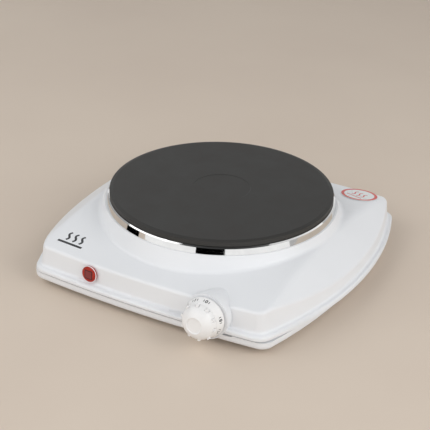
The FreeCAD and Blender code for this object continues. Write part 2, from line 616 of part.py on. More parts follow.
def thermostat():
    """The spindle's axis is local Z, pointing out of the front, and local Y is up."""
    whole = on_knob_axis("0", True)
    plate = cylinder("bracket_disc", "hump_front - wall - 0.6", 1.2, z="-seat_deep - 1.2")
    piece("thermostat_bracket", less("thermostat_bracket", shared(
        "bracket_blank", plate, box("bracket_trim", 60, 40, 10, 0, 13, "-seat_deep - 5")),
        cylinder("bracket_hole", "neck_radius", 10, z="-seat_deep - 5")), **whole)

    frame = box("thermostat_frame", 25, 17, 20.8, 0, -1.1, "-seat_deep - 22")
    chamber = box("thermostat_chamber", 22, 20, 14, 0, -3.6, "-seat_deep - 19.5")
    piece("thermostat_body", less("thermostat_body", frame, chamber,
                                  cylinder("spindle_way", "shaft_radius + running", 60, z=-40)), **whole)

    neck = cylinder("neck_blank", "neck_radius", "seat_deep + 3.4", z="-seat_deep - 1.2")
    piece("thermostat_neck", less("thermostat_neck", neck,
                                  cylinder("neck_bore", "shaft_radius + running", 30, z="-seat_deep - 5")),
          **whole)
    nut = hexagon("neck_nut_blank", 7.5, 2)
    piece("neck_nut", less("neck_nut", nut, cylinder("neck_nut_bore", "neck_radius", 6, z=-2)), **whole)

    rod = cylinder("spindle_rod", "shaft_radius", "seat_deep + 21 + 14", z="-seat_deep - 21")
    flat = box("spindle_flat", 10, 4, 12, 0, "shaft_radius + 1", 4)
    piece("thermostat_spindle", less("thermostat_spindle", rod, flat), **whole)

    cam = doc.addObject("Part::Feature", "cam_blank")
    cam.Shape = Part.Face(cam_outline()).extrude(FreeCAD.Vector(0, 0, 4))
    place(cam, z="-seat_deep - 14")
    piece("thermostat_cam", less("thermostat_cam", cam, cylinder("cam_bore", "shaft_radius", 60, z=-40)),
          **whole)

    piece("leaf_pin", cylinder("leaf_pin", "leaf_pin", 14), **local_place("leaf_x", "leaf_height", "-seat_deep - 19.5"))
    arm = box("leaf_arm", 16, 0.8, 5, "leaf_x + 9.2", "leaf_height + 0.7", "-seat_deep - 14.5")
    eye = cylinder("leaf_eye", "leaf_pin + 1", 5, x="leaf_x", y="leaf_height", z="-seat_deep - 14.5")
    button = cylinder("leaf_button", 1.4, 1.4, x="leaf_x + 15.5", y="leaf_height + 0.7", z="-seat_deep - 12",
                      axis=X_AXIS, angle=90)
    piece("contact_leaf", less("contact_leaf", joined("leaf_blank", arm, eye, button),
                               cylinder("leaf_bore", "leaf_pin + running", 60, x="leaf_x", y="leaf_height",
                                        z=-40)), **whole)


def local_place(x, y, z):
    """The placement of a sub-part whose own origin is off the knob's axis."""
    return {"x": "seat_x + " + x,
            "y": "plate_axis_y - seat_reach - (%s) * cos(wall_draft) + (%s) * sin(wall_draft)" % (z, y),
            "z": "seat_height + (%s) * sin(wall_draft) + (%s) * cos(wall_draft)" % (z, y),
            "axis": X_AXIS, "angle": "90 - wall_draft"}


def control_knob():
    whole = on_knob_axis("0", True)
    inside = "knob_long - crown_thick"
    nub_count = 10
    first_nub = 28
    blank = turned("knob_blank", [
        (0, inside), (6.4, inside), (6.4, "hub_start"), ("knob_radius - 2.2", "hub_start"),
        ("knob_radius - 1.6", "knob_gap"), ("knob_radius", "knob_gap"), ("knob_radius", "knob_gap + 1.4"),
        ("dome_radius + 0.3", 8.8), ("dome_radius", 9.5), ("dome_radius - 0.5", 12),
        ("dome_radius - 2", 15), ("dome_radius - 4.1", 17), ("cap_radius + 1", "knob_long"),
        ("cap_radius", "knob_long"), ("cap_radius", "knob_long - 0.6"), (0, "knob_long - 0.6")])
    nubs = []
    for index in range(nub_count):
        angle = 90 - first_nub - index * 360 / nub_count
        nubs.append(cylinder("knob_nub_%d" % index, 0.9, 2.6, x="(dome_radius - 0.3) * cos(%g)" % angle,
                             y="(dome_radius - 0.3) * sin(%g)" % angle, z=10.5))
    hub = less("knob_hub", cylinder("knob_hub_blank", 6.6, inside + " - hub_start", z="hub_start"),
               shared("knob_bore", cylinder("knob_bore_round", "shaft_radius + 0.02", 60, z=-10),
                      box("knob_bore_flat", 10, 10, 60, 0, "shaft_radius - 1 + 0.02 - 5", -10)))
    piece("control_knob", joined("control_knob", blank, hub, *nubs), **whole)


# ---------------------------------------------------------------- pilot lamp

def pilot_lamp():
    lens = turned("pilot_lens", [
        (0, 0), (4.8, 0), (4.8, -5), ("lamp_hole", -5), ("lamp_hole", 0.3), ("lamp_radius", 0.3),
        ("lamp_radius", 1), ("lamp_radius - 1.2", 1.9), ("lamp_radius - 4", 2.3), (0, 2.4)])
    lens.Label = "pilot_lens"
    on_lamp_axis(lens, "0", True)
    PIECES.append(lens)

    holder = less("lamp_holder", joined("holder_blank", box("holder_square", 6.4, 6.4, 12, 0, 0, -12),
                                        cylinder("holder_flange", 7, 1.4, z=-6.8)),
                  box("holder_hollow", 4.6, 4.6, 14, 0, 0, -11.2))
    holder.Label = "lamp_holder"
    on_lamp_axis(holder, "-0.4", True)
    PIECES.append(holder)

    bulb = turned("neon_bulb", [(0, -10.6), (1.9, -10.6), (2, -3.6), (1.4, -2.2), (0, -1.8)])
    bulb.Label = "neon_bulb"
    on_lamp_axis(bulb, "-0.4", True)
    PIECES.append(bulb)


# ---------------------------------------------------------------- supply side

def supply_parts():
    piece("cord_gland", turned("cord_gland", [
        ("gland_bore", -5.5), ("gland_hole + 0.8", -5.5), ("gland_hole + 1.2", -4.1), ("gland_hole + 1.2", -2.6),
        ("gland_hole - 0.1", -2.6), ("gland_hole - 0.1", 0.5), ("gland_hole + 1", 0.5),
        ("gland_hole + 1", 1.9), ("gland_hole", 3.4), ("gland_bore", 3.4)]), **on_gland_axis("0", True))

    strip = box("supply_blank", 36, 14, 11, "supply_x", "supply_y", "pan_bottom + pan_wall")
    ways = [cylinder("supply_way_%d" % index, 2, 8, x="supply_x + %d" % (12 * index - 12), y="supply_y",
                     z="pan_bottom + pan_wall + 5") for index in range(3)]
    piece("supply_terminal", less("supply_terminal", strip, *ways))

    heads = []
    for index in range(3):
        head = cylinder("supply_screw_%d" % index, 1.9, 4, x="supply_x + %d" % (12 * index - 12), y="supply_y",
                        z="pan_bottom + pan_wall + 5")
        slot = box("supply_slot_%d" % index, 5, 0.8, 1, "supply_x + %d" % (12 * index - 12), "supply_y",
                   "pan_bottom + pan_wall + 8.4")
        heads.append(less("supply_clamp_%d" % index, head, slot))
    piece("supply_screws", group("supply_screws", heads))

    stud = cylinder("earth_stud", 2, 7, x="earth_x", y="earth_y", z="pan_bottom + pan_wall")
    nut = hexagon("earth_nut", 4, 2.6, x="earth_x", y="earth_y", z="pan_bottom + pan_wall")
    piece("earth_screw", joined("earth_screw", stud, nut))


def lead(name, route):
    """An insulated lead: straight runs joined by tangent arcs, as large as the runs allow."""
    points = [FreeCAD.Vector(*point) for point in route]
    edges = []
    start = points[0]
    for before, corner, after in zip(points, points[1:], points[2:]):
        back = before - corner
        ahead = after - corner
        turn = math.pi - back.getAngle(ahead)
        trim = 0.45 * min(back.Length, ahead.Length)
        radius = trim / math.tan(turn / 2)
        entry = corner + back.normalize() * trim
        leave = corner + ahead.normalize() * trim
        inward = (back + ahead).normalize()
        middle = corner + inward * (radius / math.cos(turn / 2) - radius)
        edges.append(Part.LineSegment(start, entry).toShape())
        edges.append(Part.Arc(entry, middle, leave).toShape())
        start = leave
    edges.append(Part.LineSegment(start, points[-1]).toShape())
    path = Part.Wire(edges)
    ring = Part.Wire(Part.Circle(points[0], points[1] - points[0], value("wire_radius")).toShape())
    made = doc.addObject("Part::Feature", name)
    made.Shape = path.makePipeShell([ring], True, False)
    piece(name, made)


def leads():
    """Routes are chosen by hand, about the burner axis, under the heat shield."""
    lead("live_lead", [(-74, 80.9, 12), (-74, 66, 12), (-72, 20, 10.5), (-44, -36, 10.5), (6, -76, 10.5),
                       (42, -84, 12), (53, -92, 18), (53, -101.6, 20)])
    lead("neutral_lead", [(-62, 80.9, 12), (-62, 70, 12), (-50, 62, 11.5), (-34, 78, 15), (-22, 80, 26),
                          (-14, 60, 28), (-13, 45, 28.5), (-13, 45, 35.7)])
    lead("switched_lead", [(63, -101.6, 20), (63, -92, 17), (82, -70, 14), (88, -20, 13), (78, 40, 14),
                           (48, 74, 18), (26, 70, 26), (14, 58, 28), (13, 45, 28.5), (13, 45, 35.7)])
    lead("earth_lead", [(-50, 80.9, 12), (-50, 74, 12), (-40, 68, 9.5), (-27, 76, 9), (-24, 84, 9.5),
                        (-23, 92.2, 9.8)])
    lead("lamp_lead", [(-48.5, -110.2, 25), (-46, -100, 20), (-30, -92, 12), (10, -92, 14), (36, -90, 16),
                       (47.5, -93, 23), (47.5, -101, 24.4)])


# ---------------------------------------------------------------- label

def hot_surface_label():
    """A round sticker lying on the arched strip, right at the back."""
    height = "(crown_top - (label_y - crown_y) ^ 2 / (2 * crown_radius))"
    piece("hot_surface_label", cylinder("hot_surface_label", "label_radius", "label_thick"),
          x="label_x", y="plate_axis_y + label_y", z=height + " + 0.02", axis=X_AXIS,
          angle="-asin((label_y - crown_y) / crown_radius)")


# ---------------------------------------------------------------- build, check, export

upper_housing()
base_pan()
feet()
base_screws()
rating_plate()
hot_plate()
spill_ring()
heating_parts()
clamping_parts()
terminal_parts()
heat_shield()
thermostat()
control_knob()
pilot_lamp()
supply_parts()
leads()
hot_surface_label()
doc.recompute()

failed = [thing.Name for thing in doc.Objects if "Invalid" in thing.State or "Error" in thing.State]
bad = [thing.Label for thing in PIECES if thing.Shape.isNull() or not thing.Shape.isValid()]
if failed or bad:
    raise SystemExit("failed objects: %s; bad shapes: %s" % (failed, bad))

os.makedirs("parts", exist_ok=True)
whole = FreeCAD.BoundBox()
for thing in PIECES:
    size = thing.Shape.optimalBoundingBox(True, False)
    whole.add(size)
    print("%-22s solids %d volume %9.1f  x %.2f..%.2f y %.2f..%.2f z %.2f..%.2f" % (
        thing.Label, len(thing.Shape.Solids), thing.Shape.Volume,
        size.XMin, size.XMax, size.YMin, size.YMax, size.ZMin, size.ZMax))
    thing.Shape.exportStep("parts/%s.step" % thing.Label)
print("%d sub-parts, whole object x %.2f..%.2f y %.2f..%.2f z %.2f..%.2f" % (
    len(PIECES), whole.XMin, whole.XMax, whole.YMin, whole.YMax, whole.ZMin, whole.ZMax))
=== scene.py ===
import json
import math

import bmesh
import bpy
from mathutils import Matrix, Vector
from mathutils.bvhtree import BVHTree


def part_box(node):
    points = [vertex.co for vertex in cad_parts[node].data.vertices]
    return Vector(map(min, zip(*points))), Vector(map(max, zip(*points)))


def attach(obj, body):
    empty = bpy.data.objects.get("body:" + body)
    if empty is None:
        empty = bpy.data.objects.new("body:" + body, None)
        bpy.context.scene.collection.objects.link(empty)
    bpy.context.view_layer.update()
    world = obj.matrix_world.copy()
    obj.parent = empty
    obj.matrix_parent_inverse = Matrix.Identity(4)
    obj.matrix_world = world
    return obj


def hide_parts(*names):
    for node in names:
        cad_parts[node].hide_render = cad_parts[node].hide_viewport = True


# Looks of a table-top electric hot plate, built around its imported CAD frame.
# Lengths are metres in the frame's own axes: +Z up, -Y the front. MM turns millimetres into metres.

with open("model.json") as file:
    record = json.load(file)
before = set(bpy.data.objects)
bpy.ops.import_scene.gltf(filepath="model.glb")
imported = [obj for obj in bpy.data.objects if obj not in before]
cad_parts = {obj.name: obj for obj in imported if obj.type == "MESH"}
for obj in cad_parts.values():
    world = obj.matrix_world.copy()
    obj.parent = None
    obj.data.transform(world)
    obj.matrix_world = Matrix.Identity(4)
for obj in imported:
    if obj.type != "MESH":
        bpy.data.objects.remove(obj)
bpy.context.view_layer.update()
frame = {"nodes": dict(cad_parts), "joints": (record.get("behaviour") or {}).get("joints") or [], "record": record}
nodes = frame["nodes"]
MM = 0.001

# ---------------------------------------------------------------- places, all read from the frame

plate_low, plate_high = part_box("hot_plate")
burner = Vector(((plate_low.x + plate_high.x) / 2, (plate_low.y + plate_high.y) / 2, plate_high.z))
label_low, label_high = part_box("hot_surface_label")
label_centre = (label_low + label_high) / 2
label_radius = (label_high.x - label_low.x) / 2
knob_joint = next(joint for joint in frame["joints"] if joint["name"] == "knob_turn")
knob_seat = Vector(knob_joint["pos_m"])
knob_out = -Vector(knob_joint["axis"])
knob_travel = knob_joint["range_deg"][1]


# ---------------------------------------------------------------- node helpers

def linear(red, green, blue):
    """A colour given as sRGB 0 to 255, as the linear colour that a shader takes."""
    def channel(value):
        share = value / 255
        return share / 12.92 if share <= 0.04045 else ((share + 0.055) / 1.055) ** 2.4
    return (channel(red), channel(green), channel(blue), 1)


class Finish:
    """One material: a Principled shader and the textures that feed it.
    Textures are laid out in the object's own coordinates, so they ride with the piece."""

    def __init__(self, name, roughness=0.5, metallic=0.0, **sockets):
        self.material = bpy.data.materials.new(name)
        self.material.use_nodes = True
        self.tree = self.material.node_tree
        self.shader = self.tree.nodes["Principled BSDF"]
        self.coordinates = self.node("ShaderNodeTexCoord").outputs["Object"]
        self.shader.inputs["Roughness"].default_value = roughness
        self.shader.inputs["Metallic"].default_value = metallic
        for socket, value in sockets.items():
            self.shader.inputs[socket.replace("_", " ")].default_value = value

    def node(self, kind, **settings):
        made = self.tree.nodes.new(kind)
        for key, value in settings.items():
            setattr(made, key, value)
        return made

    def feed(self, socket, source):
        self.tree.links.new(source, socket)

    def mapped(self, centre=(0, 0, 0), stretch=(1, 1, 1)):
        """Coordinates about a centre, squeezed along each axis by stretch."""
        moved = self.node("ShaderNodeVectorMath", operation="SUBTRACT")
        self.feed(moved.inputs[0], self.coordinates)
        moved.inputs[1].default_value = centre
        scaled = self.node("ShaderNodeVectorMath", operation="MULTIPLY")
        self.feed(scaled.inputs[0], moved.outputs[0])
        scaled.inputs[1].default_value = stretch
        return scaled.outputs[0]

    def noise(self, size, detail=2, roughness=0.5, where=None):
        """A noise whose patches are about size metres across."""
        made = self.node("ShaderNodeTexNoise")
        made.inputs["Scale"].default_value = 1 / size
        made.inputs["Detail"].default_value = detail
        made.inputs["Roughness"].default_value = roughness
        self.feed(made.inputs["Vector"], where or self.coordinates)
        return made.outputs["Fac"]

    def rings(self, centre, spacing, wobble=0.0):
        """Turned rings round the Z axis through centre."""
        made = self.node("ShaderNodeTexWave", wave_type="RINGS", rings_direction="Z", wave_profile="SIN")
        made.inputs["Scale"].default_value = math.pi / (10 * spacing)
        made.inputs["Distortion"].default_value = wobble
        made.inputs["Detail"].default_value = 1
        self.feed(made.inputs["Vector"], self.mapped(centre, (1, 1, 0)))
        return made.outputs["Fac"]

    def ranged(self, source, low, high, from_low=0.3, from_high=0.7):
        """Spreads a texture's usual range over low to high."""
        made = self.node("ShaderNodeMapRange")
        self.feed(made.inputs["Value"], source)
        for socket, value in (("From Min", from_low), ("From Max", from_high),
                              ("To Min", low), ("To Max", high)):
            made.inputs[socket].default_value = value
        return made.outputs["Result"]

    def colours(self, source, dark, light, from_low=0.3, from_high=0.7):
        """Runs from one sRGB colour to another with a texture."""
        made = self.node("ShaderNodeMix", data_type="RGBA")
        self.feed(made.inputs["Factor"], self.ranged(source, 0, 1, from_low, from_high))
        made.inputs["A"].default_value = linear(*dark)
        made.inputs["B"].default_value = linear(*light)
        self.feed(self.shader.inputs["Base Color"], made.outputs["Result"])
        return self

    def rough(self, source, low, high):
        self.feed(self.shader.inputs["Roughness"], self.ranged(source, low, high))
        return self

    def relief(self, *layers):
        """Bumps the surface with (texture, depth in metres) layers, one over another."""
        below = None
        for source, depth in layers:
            made = self.node("ShaderNodeBump")
            made.inputs["Strength"].default_value = 1
            made.inputs["Distance"].default_value = depth
            self.feed(made.inputs["Height"], source)
            if below:
                self.feed(made.inputs["Normal"], below)
            below = made.outputs["Normal"]
        self.feed(self.shader.inputs["Normal"], below)
        return self


# ---------------------------------------------------------------- materials

def sprayed(name, dark, light, roughness, peel=6 * MM, depth=0.012 * MM, **sockets):
    """Baked enamel: faint orange peel, slow changes of gloss, hardly any change of colour."""
    made = Finish(name, roughness, **sockets)
    slow = made.noise(60 * MM, 2)
    return made.colours(slow, dark, light).rough(slow, roughness * 0.9, roughness * 1.15).relief(
        (made.noise(peel, 1), depth), (made.noise(0.7 * MM, 2), depth * 0.08))


def moulded(name, dark, light, roughness, grain=0.5 * MM, depth=0.01 * MM, **sockets):
    """Moulded plastic or rubber with a fine spark-eroded grain."""
    made = Finish(name, roughness, **sockets)
    fine = made.noise(grain, 3, 0.6)
    slow = made.noise(9 * MM, 2)
    made.colours(slow, dark, light).rough(fine, roughness * 0.85, roughness * 1.15)
    return made.relief((fine, depth))


def plated(name, dark, light, roughness, spread=0.4, blotch=4 * MM, depth=0.004 * MM, **sockets):
    """Bare or plated metal with slow blotches in its colour and gloss."""
    made = Finish(name, roughness, 1.0, **sockets)
    slow = made.noise(blotch, 4, 0.6)
    fine = made.noise(0.4 * MM, 2)
    made.colours(slow, dark, light).rough(slow, roughness * (1 - spread), roughness * (1 + spread))
    return made.relief((fine, depth))


def brushed(name, dark, light, roughness, along, depth=0.004 * MM):
    """Rolled sheet metal with fine lines along one axis."""
    made = Finish(name, roughness, 1.0)
    squeeze = tuple(0.03 if axis == along else 1 for axis in "xyz")
    lines = made.noise(0.5 * MM, 3, 0.7, made.mapped(stretch=squeeze))
    made.colours(lines, dark, light).rough(lines, roughness * 0.7, roughness * 1.3)
    return made.relief((lines, depth))


def chrome():
    """Polished plate on a spun ring: faint concentric polishing lines and a little haze."""
    made = Finish("bright_chrome", 0.05, 1.0)
    haze = made.noise(14 * MM, 3, 0.6)
    lines = made.rings(burner, 0.25 * MM, 0.4)
    return made.colours(haze, (222, 222, 222), (232, 232, 231)).rough(haze, 0.03, 0.08).relief(
        (lines, 0.0006 * MM), (made.noise(30 * MM, 1), 0.05 * MM))


def cast_iron():
    """Heat-proof coating on turned cast iron: fine grit, turned rings, faint burnished patches."""
    made = Finish("cast_iron_coated", 0.5)
    grit = made.noise(0.45 * MM, 4, 0.65)
    cloud = made.noise(28 * MM, 4, 0.6)
    turned = made.rings(burner, 0.9 * MM, 1.5)
    return made.colours(cloud, (42, 42, 40), (48, 46, 44)).rough(cloud, 0.5, 0.6).relief(
        (turned, 0.004 * MM), (grit, 0.03 * MM))


def striped_lead():
    """Green and yellow earth wire: two colours wound along the wire."""
    made = Finish("green_yellow_lead", 0.4)
    bands = made.node("ShaderNodeTexWave", wave_type="BANDS", bands_direction="DIAGONAL")
    bands.inputs["Scale"].default_value = 90
    made.feed(bands.inputs["Vector"], made.coordinates)
    fine = made.noise(0.4 * MM, 2)
    return made.colours(bands.outputs["Fac"], (38, 120, 52), (222, 200, 40), 0.45, 0.55).rough(
        fine, 0.35, 0.5).relief((fine, 0.006 * MM))


def red_glass():
    """Tinted clear plastic: part of the light passes, part is scattered in the tint."""
    made = Finish("red_lens", 0.12, Transmission_Weight=0.62, IOR=1.46)
    cloud = made.noise(2.5 * MM, 3)
    return made.colours(cloud, (232, 52, 38), (246, 76, 56)).rough(cloud, 0.08, 0.16).relief(
        (made.noise(1.2 * MM, 2), 0.02 * MM))


def clear_glass():
    made = Finish("clear_bulb", 0.05, Transmission_Weight=0.9, IOR=1.5)
    cloud = made.noise(2 * MM, 2)
    return made.colours(cloud, (236, 226, 214), (246, 240, 232)).rough(cloud, 0.03, 0.09).relief(
        (made.noise(1.5 * MM, 1), 0.01 * MM))


FINISHES = {
    "white_enamel": lambda: sprayed("white_enamel", (231, 233, 236), (234, 236, 239), 0.36),
    "cast_iron_coated": cast_iron,
    "bright_chrome": chrome,
    "white_knob": lambda: moulded("white_knob", (238, 238, 238), (243, 243, 243), 0.34, depth=0.004 * MM),
    "red_lens": red_glass,
    "black_holder": lambda: moulded("black_holder", (22, 20, 20), (34, 30, 30), 0.45),
    "clear_bulb": clear_glass,
    "black_rubber": lambda: moulded("black_rubber", (24, 24, 24), (36, 35, 34), 0.75, 0.7 * MM, 0.03 * MM),
    "zinc_steel": lambda: plated("zinc_steel", (168, 171, 172), (196, 198, 196), 0.36),
    "brass": lambda: plated("brass", (186, 150, 84), (212, 178, 106), 0.3, 0.3),
    "bare_aluminium": lambda: brushed("bare_aluminium", (176, 178, 180), (204, 206, 208), 0.4, "x"),
    "coil_wire": lambda: plated("coil_wire", (92, 84, 78), (126, 114, 104), 0.5, 0.3, 1.5 * MM),
    "oxide_insulation": lambda: moulded("oxide_insulation", (214, 208, 196), (230, 225, 214), 0.92, 0.6 * MM,
                                        0.05 * MM),
    "steatite": lambda: moulded("steatite", (222, 214, 200), (236, 230, 218), 0.55, 0.8 * MM, 0.02 * MM),
    "phenolic": lambda: moulded("phenolic", (40, 26, 20), (58, 38, 28), 0.42, 0.9 * MM),
    "terminal_plastic": lambda: moulded("terminal_plastic", (214, 212, 202), (228, 226, 218), 0.48),
    "brown_lead": lambda: moulded("brown_lead", (84, 48, 28), (102, 60, 36), 0.42, 0.4 * MM),
    "blue_lead": lambda: moulded("blue_lead", (36, 78, 150), (48, 94, 172), 0.42, 0.4 * MM),
    "green_yellow_lead": striped_lead,
    "black_lead": lambda: moulded("black_lead", (26, 26, 27), (38, 38, 39), 0.42, 0.4 * MM),
    "label_film": lambda: moulded("label_film", (224, 229, 230), (230, 234, 234), 0.3, 3 * MM, 0.01 * MM),
    "plate_foil": lambda: brushed("plate_foil", (188, 190, 192), (214, 216, 217), 0.38, "x"),
}
finishes = {slot: make().material for slot, make in FINISHES.items()}
ink_dark = moulded("print_dark", (34, 35, 38), (50, 51, 54), 0.4, 0.3 * MM, 0.003 * MM).material
holder_edge = moulded("holder_edge", (66, 22, 24), (80, 30, 30), 0.2, 0.6 * MM, 0.003 * MM).material
# Painted shade: the darker red inside the lamp holder, as seen through the lens, drawn on the lens itself.
lens_well_shade = moulded("lens_well_shade", (122, 44, 46), (138, 54, 54), 0.15, 0.8 * MM, 0.003 * MM).material
ink_red = moulded("print_red", (206, 74, 68), (216, 92, 84), 0.4, 0.6 * MM, 0.003 * MM).material


def finish_cad_nodes():
    for part in frame["record"]["subparts"]:
        node = nodes[part["node"]]
        node.data.materials.clear()
        node.data.materials.append(finishes[part["material_slot"]])


# ---------------------------------------------------------------- mesh helpers

def add_mesh(name, verts, faces, material, body, matrix=None, smooth=True):
    mesh = bpy.data.meshes.new(name)
    mesh.from_pydata([tuple(v) for v in verts], [], faces)
    if matrix:
        mesh.transform(matrix)
    form = bmesh.new()
    form.from_mesh(mesh)
    bmesh.ops.recalc_face_normals(form, faces=form.faces)
    form.to_mesh(mesh)
    form.free()
    if smooth:
        mesh.shade_smooth()
    mesh.materials.append(material)
    piece = bpy.data.objects.new(name, mesh)
    bpy.context.scene.collection.objects.link(piece)
    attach(piece, body)
    return piece


def frame_matrix(origin, out, up):
    """Local Z along out, local Y as near up as it can be."""
    z = out.normalized()
    x = up.cross(z).normalized()
    y = z.cross(x)
    return Matrix.Translation(origin) @ Matrix((x, y, z)).transposed().to_4x4()


# ---------------------------------------------------------------- control knob

# Millimetres in the knob's own frame: r from its axis, w out from the face behind it. Clockwise
# angles start at the top, as a person in front of the knob sees them.
KNOB_STEPS = 300
NUBS = 10
NUB_FIRST = 28
NOTCH_HALF = 7.6
CROWN_BACK = 4.4
DIAL = [(13.9, CROWN_BACK), (14.2, 1.0), (15.8, 1.0), (16.15, 1.15), (16.3, 1.5), (16.3, 2.5), (16.15, 3.0),
        (15.9, 3.6), (15.5, 4.7), (14.8, 6.7), (14.25, 8.2), (14.1, 8.7), (13.9, 8.85)]
DOME_RADIUS, DOME_START, DOME_DEEP = 13.9, 9.5, 10.6
DOME = [(DOME_RADIUS * math.sqrt(1 - ((w - DOME_START) / DOME_DEEP) ** 2), w)
        for w in (9.5, 10.2, 11, 12, 12.6, 13.2, 14, 14.8, 15.6, 16.3, 17, 17.6, 18.1, 18.5)]
GRIP = [(13.6, 9.0), (13.82, 9.2)] + DOME + [
    (6.95, 18.72), (6.7, 18.86), (6.45, 18.9), (6.25, 18.84), (6.12, 18.66), (6.02, 18.42), (5.8, 18.3),
    (5.2, 18.27), (3.5, 18.25), (1.8, 18.25)]


def nub_offset(angle):
    """Degrees from the nearest nub."""
    pitch = 360 / NUBS
    return abs((angle - NUB_FIRST + pitch / 2) % pitch - pitch / 2)


def smooth_step(low, high, value):
    share = min(max((value - low) / (high - low), 0), 1)
    return share * share * (3 - 2 * share)


def grip_radius(radius, w, angle):
    """Pulls the grip's edge in beside each nub."""
    notch_deep, ramp = 1.3, 1.2
    height = smooth_step(8.9, 9.1, w) * (1 - smooth_step(12, 13.2, w))
    notch = 1 - smooth_step(NOTCH_HALF - ramp, NOTCH_HALF, nub_offset(angle))
    return radius - notch_deep * notch * height


def revolved(rows, steps, shape=None):
    """Rings of points for a list of (r, w), with the last ring closed by a centre point."""
    verts, faces = [], []
    for r, w in rows:
        for step in range(steps):
            angle = 360 * step / steps
            radius = shape(r, w, angle) if shape else r
            turn = math.radians(angle)
            verts.append((radius * math.sin(turn) * MM, radius * math.cos(turn) * MM, w * MM))
    for row in range(len(rows) - 1):
        for step in range(steps):
            a, b = row * steps + step, row * steps + (step + 1) % steps
            faces.append((a, b, b + steps, a + steps))
    return verts, faces


def add_knob():
    rows = [(3.2, CROWN_BACK), (8, CROWN_BACK)] + DIAL + GRIP
    verts, faces = revolved(rows, KNOB_STEPS, grip_radius)
    last = (len(rows) - 1) * KNOB_STEPS
    verts.append((0, 0, GRIP[-1][1] * MM))
    verts.append((0, 0, CROWN_BACK * MM))
    for step in range(KNOB_STEPS):
        after = (step + 1) % KNOB_STEPS
        faces.append((last + step, last + after, len(verts) - 2))
        faces.append((after, step, len(verts) - 1))
    matrix = frame_matrix(knob_seat, knob_out, Vector((0, 0, 1)))
    knob = add_mesh("knob_body", verts, faces, finishes["white_knob"], "knob", matrix)
    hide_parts("control_knob")
    add_nubs(matrix)
    add_dial_marks(matrix)


def add_nubs(matrix):
    """Small rounded fins standing round the grip, one in each notch."""
    wide, deep, high = 1.9 * MM, 2.7 * MM, 2.6 * MM
    from_axis, from_face, easing = 13.25 * MM, 11.7 * MM, 0.3 * MM
    form = bmesh.new()
    for index in range(NUBS):
        centre = math.radians(NUB_FIRST + 360 / NUBS * index)
        made = bmesh.ops.create_cube(form, size=1)
        bmesh.ops.scale(form, verts=made["verts"], vec=(wide, deep, high))
        lean = Matrix.Rotation(math.radians(6), 4, "X")
        spot = Matrix.Rotation(-centre, 4, "Z") @ Matrix.Translation((0, from_axis, from_face)) @ lean
        bmesh.ops.transform(form, matrix=matrix @ spot, verts=made["verts"])
    bmesh.ops.bevel(form, geom=form.edges[:], offset=easing, segments=4, profile=0.6, affect="EDGES")
    mesh = bpy.data.meshes.new("knob_nubs")
    form.to_mesh(mesh)
    form.free()
    mesh.shade_smooth()
    mesh.materials.append(finishes["white_knob"])
    piece = bpy.data.objects.new("knob_nubs", mesh)
    bpy.context.scene.collection.objects.link(piece)
    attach(piece, "knob")


def glyph_mesh(text, height):
    """A character as a flat mesh about its own middle, height tall."""
    curve = bpy.data.curves.new("glyph", "FONT")
    curve.body = text
    curve.size = 1
    curve.resolution_u = 6
    curve.offset = 0.022
    carrier = bpy.data.objects.new("glyph", curve)
    bpy.context.scene.collection.objects.link(carrier)
    bpy.context.view_layer.update()
    mesh = bpy.data.meshes.new_from_object(carrier)
    bpy.data.objects.remove(carrier)
    xs = [v.co.x for v in mesh.vertices]
    ys = [v.co.y for v in mesh.vertices]
    scale = height / (max(ys) - min(ys))
    middle = Vector(((max(xs) + min(xs)) / 2, (max(ys) + min(ys)) / 2, 0))
    verts = [(v.co - middle) * scale for v in mesh.vertices]
    faces = [tuple(p.vertices) for p in mesh.polygons]
    bpy.data.meshes.remove(mesh)
    return verts, faces


def add_dial_marks(matrix):
    """Numbers round the dial's cone, each with a tick on either side."""
    middle = Vector((15.35, 5.15))
    steep = Vector((-0.7, 2)).normalized()
    lift = 0.035

    def on_cone(x, y, angle):
        """x round the cone and y up its slope, in millimetres, about a mark's own place."""
        r = middle.x + steep.x * y + steep.y * lift
        w = middle.y + steep.y * y - steep.x * lift
        turn = math.radians(angle) + x / middle.x
        return Vector((r * math.sin(turn), r * math.cos(turn), w)) * MM

    verts, faces = [], []

    def add(points, polygons, angle):
        start = len(verts)
        verts.extend(on_cone(x, y, angle) for x, y in points)
        faces.extend(tuple(start + i for i in polygon) for polygon in polygons)

    highest = 8
    first_angle = 8
    tick_beside, tick_half, tick_high = 2.2, 0.26, 1.1
    for number in range(highest + 1):
        angle = first_angle - knob_travel * number / highest
        glyph, polygons = glyph_mesh(str(number), 3.1)
        add([(v.x, v.y) for v in glyph], polygons, angle)
        for x in (-tick_beside, tick_beside):
            add([(x - tick_half, -tick_high), (x + tick_half, -tick_high), (x + tick_half, tick_high),
                 (x - tick_half, tick_high)], [(0, 1, 2, 3)], angle)
    add_mesh("dial_numbers", verts, faces, ink_dark, "knob", matrix, smooth=False)


# ---------------------------------------------------------------- printed marks on the housing

def ribbon(points, half):
    """A flat band of even width along a line of (x, y) points."""
    verts, faces = [], []
    for index, (x, y) in enumerate(points):
        before = points[max(index - 1, 0)]
        after = points[min(index + 1, len(points) - 1)]
        along = Vector((after[0] - before[0], after[1] - before[1])).normalized()
        verts += [(x - along.y * half, y + along.x * half), (x + along.y * half, y - along.x * half)]
        if index:
            k = 2 * index
            faces.append((k - 2, k - 1, k + 1, k))
    return verts, faces


def heat_wave(x, low, high, swing):
    """A wavy line rising at x."""
    return [(x + swing * math.sin(2 * math.pi * share / 16), low + (high - low) * share / 16)
            for share in range(17)]


